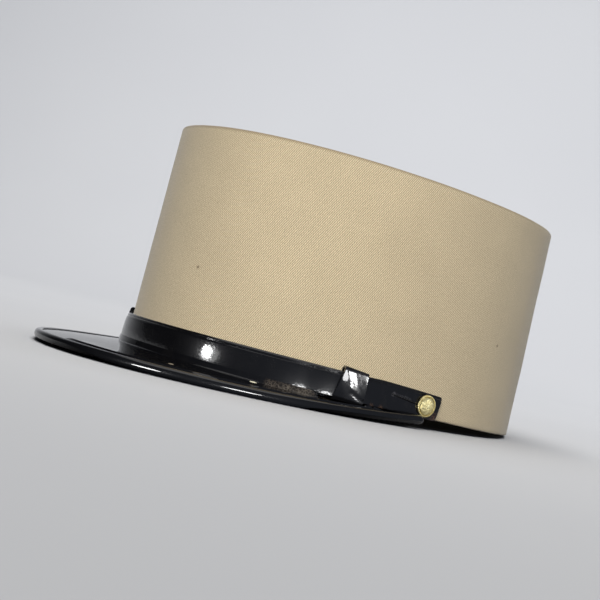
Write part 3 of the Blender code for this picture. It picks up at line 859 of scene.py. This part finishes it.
def makeKeeper(name, middleRun, creases, seed, node):
    layers = 2 * strap["thickness"] + fitGap
    halfHigh = strap["width"] / 2 + fitGap + keeper["wall"]
    halfDeep = layers / 2 + fitGap + keeper["wall"]
    bpy.ops.mesh.primitive_cube_add(size=2)
    loop = nameActive(name)
    startEdit(loop, "SELECT")
    bpy.ops.transform.resize(value=(keeper["length"] / 2, halfHigh, halfDeep))
    pickFaces(loop, lambda middle, normal: abs(normal.x) > 0.9)
    bpy.ops.mesh.delete(type="FACE")
    pickEdges(loop, lambda edge: abs((edge.verts[0].co - edge.verts[1].co).x) > 1)
    bpy.ops.mesh.bevel(offset=keeper["corner"], segments=4, affect="EDGES")
    bpy.ops.mesh.select_all(action="SELECT")
    bpy.ops.mesh.subdivide(number_cuts=keeper["cuts"])
    endEdit()
    applyModifier(loop, "SOLIDIFY", thickness=keeper["wall"], offset=-1.0, use_even_offset=True)
    roundEdges(loop, keeper["edgeRound"], segments=2)

    def crumple(x, y, z):
        backward = 1 if middleRun > 0 else -1
        x = x * backward
        front = smoothStep(z / halfDeep)
        push = np.zeros_like(x)
        for (x0, y0), (x1, y1), depth, width in creases:
            length = (x1 - x0) ** 2 + (y1 - y0) ** 2
            t = np.clip(((x - x0) * (x1 - x0) + (y - y0) * (y1 - y0)) / length, 0, 1)
            away = np.hypot(x - x0 - t * (x1 - x0), y - y0 - t * (y1 - y0))
            push += depth * np.exp(-(away / width) ** 2)
        # the leather has set in three flats that meet at two slanting folds
        across = sum((part - middle) * share for part, middle, share
                     in zip((x, y), keeper["foldMiddle"], keeper["foldDirection"]))
        flats = keeper["firstFall"] * np.minimum(across - keeper["firstFold"], 0)
        flats -= keeper["secondFall"] * np.maximum(across - keeper["secondFold"], 0)
        flats = np.maximum(flats, -keeper["fallMost"]) - keeper["bow"] * y ** 2
        ripple = ripples(x, y, keeper["rippleSizes"], seed)
        z = z + front * (flats + keeper["ripple"] * ripple - push)
        backShare = np.clip(x / keeper["length"] + 0.5, 0, 1)
        y = y - np.where(y > 0, keeper["sag"] * backShare, 0)
        x = x + keeper["slant"] * y * (1 - backShare)
        run = middleRun + x * backward
        middle = innerLane(run) + layers / 2
        return wrapOnCrown(run, strapMiddle(run) + y, middle + z)

    movePoints(loop, crumple)
    standCap(loop)
    finishPiece(loop, patentWorn, "worn_patent_leather", node)


makeKeeper("keeperLeft", keeperRuns[0], leftCreases, 1.7, "keeper_left")
makeKeeper("keeperRight", keeperRuns[1], rightCreases, 5.2, "keeper_right")


# The buttons: a stamped dome in a raised rim, with a plain wreath of leaves in low relief

def makeButton(name, side, lane, node):
    radius, dome = button["radius"], button["radius"] - button["rimWidth"]
    back = float(lane(side * buttonRun)) + strap["thickness"] + fitGap
    backRadius = radius - button["backInset"]
    bpy.ops.mesh.primitive_circle_add(vertices=128, radius=backRadius, fill_type="NGON")
    disc = nameActive(name)
    startEdit(disc, "SELECT")
    for up, scale in button["rimSteps"]:
        bpy.ops.mesh.extrude_region_move(TRANSFORM_OT_translate={"value": (0, 0, up)})
        bpy.ops.transform.resize(value=(scale, scale, 1))
    bpy.ops.mesh.inset(thickness=0.30, depth=0.0)
    bpy.ops.mesh.inset(thickness=0.15, depth=-0.35)
    for ring in range(button["rings"]):
        bpy.ops.mesh.inset(thickness=(dome - 0.2) / (button["rings"] + 0.5))
    bpy.ops.mesh.poke()
    endEdit()

    heights = {}

    def stamp(x, y, z):
        reach = np.hypot(x, y)
        turn = np.arctan2(y, x)
        onDome = smoothStep((dome + 0.12 - reach) / 0.2) * (z > 0.6)
        bulge = np.sqrt(np.clip(1 - (reach / (dome + 0.15)) ** 2, 0, 1))
        bulge *= button["domeHeight"] - button["domeFoot"]
        leafTurn = np.cos(turn * button["leaves"] + (reach - button["curlReach"]) * button["leafCurl"])
        leaf = np.exp(-((reach - button["leafReach"]) / button["leafWidth"]) ** 2)
        leaf *= np.clip(leafTurn, -0.2, 1)
        ring = np.exp(-((reach - button["ringReach"]) / button["ringWidth"]) ** 2)
        boss = smoothStep((button["bossReach"] - reach) / button["bossEase"])
        mottle = ripples(x, y, button["mottleSizes"], 0.4)
        relief = button["leafRise"] * leaf + button["ringRise"] * ring + button["bossRise"] * boss
        relief += button["mottle"] * mottle
        heights["raised"] = np.clip(0.5 + 3 * relief * onDome, 0, 1)
        return x, y, z + onDome * (bulge + relief)

    movePoints(disc, stamp)
    raised = disc.data.attributes.new("raised", "FLOAT", "POINT")
    raised.data.foreach_set("value", heights["raised"])
    # the shank goes down from the back through the strap
    startEdit(disc)
    pickEdges(disc, lambda edge: edge.is_boundary)
    bpy.ops.mesh.extrude_edges_move(TRANSFORM_OT_translate={"value": (0, 0, 0)})
    shrink = button["shankRadius"] / backRadius
    bpy.ops.transform.resize(value=(shrink, shrink, 1), center_override=(0, 0, 0))
    bpy.ops.mesh.extrude_edges_move(TRANSFORM_OT_translate={"value": (0, 0, fitGap - back)})
    bpy.ops.mesh.edge_face_add()
    endEdit()
    faceOutwards(disc)

    run = side * buttonRun
    angle = float(angleOf(run))
    height = float(strapMiddle(run))
    origin = np.array([float(v) for v in crownPoint(angle, height, back)])
    outer = np.array([float(v) for v in crownPoint(angle, height, back + 1)]) - origin
    along = np.cross((0, 0, 1), outer)

    def place(x, y, z):
        points = origin + x[:, None] * along + y[:, None] * np.array((0, 0, 1)) + z[:, None] * outer
        return points.T

    movePoints(disc, place)
    standCap(disc)
    finishPiece(disc, brass, "brass", node, angle=60)


makeButton("buttonLeft", 1, innerLane, "button_left")
makeButton("buttonRight", -1, outerLane, "button_right")


# Studio: a pale sweep, soft light, small lamps for the highlights, and the camera of the photograph

studio = {"azimuth": 53.7, "behind": 1.5, "before": 1.6, "halfWidth": 2.6, "wall": 2.6, "sweep": 0.7,
          "fadeFrom": 0.06, "mirrored": 0.097, "windowAzimuth": 100, "glow": (0.02, 0.34)}
photoCamera = {"place": (0.54142, -0.39723, 0.04426), "aim": (0.00019, 0.00026, 0.04473), "roll": 12.942,
               "lens": 81.36}


def makeSweep():
    bpy.ops.mesh.primitive_plane_add(size=1)
    sweep = nameActive("sweep")
    startEdit(sweep, "SELECT")
    depth = studio["behind"] + studio["before"]
    bpy.ops.transform.resize(value=(2 * studio["halfWidth"], depth, 1))
    bpy.ops.transform.translate(value=(0, depth / 2 - studio["before"], 0))
    farEdge = studio["behind"] - 0.01
    pickEdges(sweep, lambda edge: min(vert.co.y for vert in edge.verts) > farEdge)
    bpy.ops.mesh.extrude_edges_move(TRANSFORM_OT_translate={"value": (0, 0, studio["wall"])})
    pickEdges(sweep, lambda edge: all(vert.co.y > farEdge and vert.co.z < 0.01 for vert in edge.verts))
    bpy.ops.mesh.bevel(offset=studio["sweep"], segments=24, affect="EDGES")
    endEdit()
    turn = math.radians(studio["azimuth"])
    movePoints(sweep, lambda x, y, z: (x * math.cos(turn) - y * math.sin(turn),
                                       x * math.sin(turn) + y * math.cos(turn), z))
    made, tree, shader = startMaterial("backdropPaper", {"Roughness": 0.95, "Specular IOR Level": 0.1})
    place = addNode(tree, "TexCoord").outputs["Object"]
    tone = mixColours(tree, noiseMap(tree, place, 3.0, 2.0), "#c0c1c4", "#c6c7c9")
    # the lacquer mirrors the paper darker than the camera sees it, and less and less towards the camera
    ahead = (math.sin(turn), -math.cos(turn), 0)
    nearness = measure(tree, "DOT_PRODUCT", place, ahead)
    darker = remap(tree, nearness, studio["fadeFrom"], studio["mirrored"], -0.2, -1.0)
    glossy = addNode(tree, "LightPath").outputs["Is Glossy Ray"]
    mirrored = calculate(tree, "MULTIPLY_ADD", glossy, darker, 1.0)
    shown = addNode(tree, "VectorMath", {0: tone, "Scale": mirrored}, operation="SCALE").outputs["Vector"]
    linkShader(tree, shader, colour=shown)
    sweep.data.materials.append(made)
    makeActive(sweep)
    bpy.ops.object.shade_smooth()
    sweep.visible_diffuse = False
    # the paper before the cap is a piece of its own, which the black lacquer does not mirror
    front = sweep.copy()
    front.data = sweep.data.copy()
    front.name = front.data.name = "floorPaper"
    bpy.context.collection.objects.link(front)
    splitPlace = tuple(part * studio["mirrored"] for part in ahead)
    for half, clearInner, clearOuter in ((sweep, False, True), (front, True, False)):
        startEdit(half, "SELECT")
        bpy.ops.mesh.bisect(plane_co=splitPlace, plane_no=ahead, clear_inner=clearInner,
                            clear_outer=clearOuter)
        endEdit()
    front.visible_glossy = False
    front.visible_shadow = False


def addLight(name, azimuth, elevation, distance, size, power, colour="#ffffff", inGloss=True,
             target=(0, 0, 0.05), shape="RECTANGLE"):
    a, e = math.radians(azimuth), math.radians(elevation)
    direction = Vector((math.sin(a) * math.cos(e), -math.cos(a) * math.cos(e), math.sin(e)))
    bpy.ops.object.light_add(type="AREA", location=Vector(target) + direction * distance)
    lamp = bpy.context.active_object
    lamp.name = name
    lamp.rotation_euler = direction.to_track_quat("Z", "Y").to_euler()
    lamp.data.shape = shape
    lamp.data.size, lamp.data.size_y = size
    lamp.data.energy = power
    lamp.data.color = linearColour(colour)[:3]
    lamp.visible_camera = False
    lamp.visible_glossy = inGloss
    return lamp


def makeWorld():
    world = bpy.data.worlds.new("studioRoom")
    bpy.context.scene.world = world
    world.use_nodes = True
    tree = world.node_tree
    tree.nodes.clear()
    path = addNode(tree, "LightPath")
    pale = addNode(tree, "Background", {"Color": linearColour("#d9dadd"), "Strength": 0.85})
    # the room behind the camera is dark on the left and a little lighter towards a window on the right
    towards = addNode(tree, "TexCoord").outputs["Generated"]
    window = math.radians(studio["windowAzimuth"])
    share = measure(tree, "DOT_PRODUCT", towards, (math.sin(window), -math.cos(window), 0))
    glow = remap(tree, share, -0.6, 1.0, *studio["glow"])
    # the lacquer mirrors the whole of that glow, and the matt cloth takes up only some of it
    taken = calculate(tree, "MULTIPLY_ADD", path.outputs["Is Glossy Ray"], 0.6, 0.4)
    strength = calculate(tree, "MULTIPLY", glow, taken)
    dim = addNode(tree, "Background", {"Color": linearColour("#c4cde0"), "Strength": strength})
    mixed = addNode(tree, "MixShader", {0: path.outputs["Is Camera Ray"], 1: dim.outputs[0],
                                        2: pale.outputs[0]})
    addNode(tree, "OutputWorld", {"Surface": mixed.outputs[0]})


def placeCamera():
    bpy.ops.object.camera_add(location=photoCamera["place"])
    camera = bpy.context.active_object
    toAim = Vector(photoCamera["aim"]) - camera.location
    turn = toAim.to_track_quat("-Z", "Y")
    camera.rotation_mode = "QUATERNION"
    camera.rotation_quaternion = turn @ Quaternion((0, 0, 1), math.radians(photoCamera["roll"]))
    camera.data.lens = photoCamera["lens"]
    camera.data.sensor_width = 36
    camera.data.clip_start = 0.01
    bpy.context.scene.camera = camera


makeSweep()
makeWorld()
backdrop = ("sweep", "floorPaper")
capPieces = [piece.name for piece in bpy.data.objects if piece.type == "MESH" and piece.name not in backdrop]


def shineOnlyOn(lamp, pieces):
    shownOn = bpy.data.collections.new(lamp.name + "Pieces")
    for piece in pieces:
        shownOn.objects.link(bpy.data.objects[piece])
    lamp.light_linking.receiver_collection = shownOn


shineOnlyOn(addLight("keyLight", 51, 30, 1.7, (1.4, 1.1), 49, "#fffcf7", inGloss=False), capPieces)
shineOnlyOn(addLight("topLight", 50, 86, 1.6, (1.6, 1.6), 9, "#fffefc"), capPieces)
shineOnlyOn(addLight("floorLight", 50, 86, 1.6, (1.6, 1.6), 30, "#fffefc", inGloss=False), backdrop)
wall = addLight("wallLight", 48, 58, 1.3, (2.4, 0.8), 21, "#fbfcff", inGloss=False, target=(-0.9, 1.3, 0.3))
shineOnlyOn(wall, backdrop)
shineOnlyOn(addLight("backLight", 234, 30, 1.25, (1.2, 0.9), 20, "#fffcf7", inGloss=False), capPieces)
# small lamps that only show as highlights, each on its own pieces
strapPieces = ("strapLeft", "strapRight", "keeperRight", "buttonLeft", "buttonRight")
for name, azimuth, elevation, size, power, pieces in (
        ("leftLamp", 4, 3, (0.19, 0.18), 4, strapPieces),
        ("leftHalo", 6, 2, (0.34, 0.28), 0.8, strapPieces),
        ("rightLamp", 69, -6, (0.48, 0.18), 5.6, strapPieces),
        ("rightHalo", 69, -4, (0.50, 0.26), 0.15, strapPieces),
        ("keeperLamp", 84, 7, (0.36, 0.30), 5, ("keeperLeft",)),
        ("keeperLowLamp", 103, 9, (0.32, 0.28), 8.5, ("keeperLeft",)),
        ("buttonLamp", 121, 12, (0.90, 0.90), 5, ("buttonLeft", "buttonRight")),
        ("leftRollLamp", 23, -14, (0.42, 0.24), 9, ("peakBinding",)),
        ("rightRollLamp", 69, -15, (0.44, 0.15), 7, ("peakBinding",))):
    lamp = addLight(name, azimuth, elevation, 1.5, size, power, shape="ELLIPSE")
    lamp.visible_diffuse = False
    shineOnlyOn(lamp, pieces)
placeCamera()
bpy.context.scene.view_settings.view_transform = "Standard"
print("studio made")
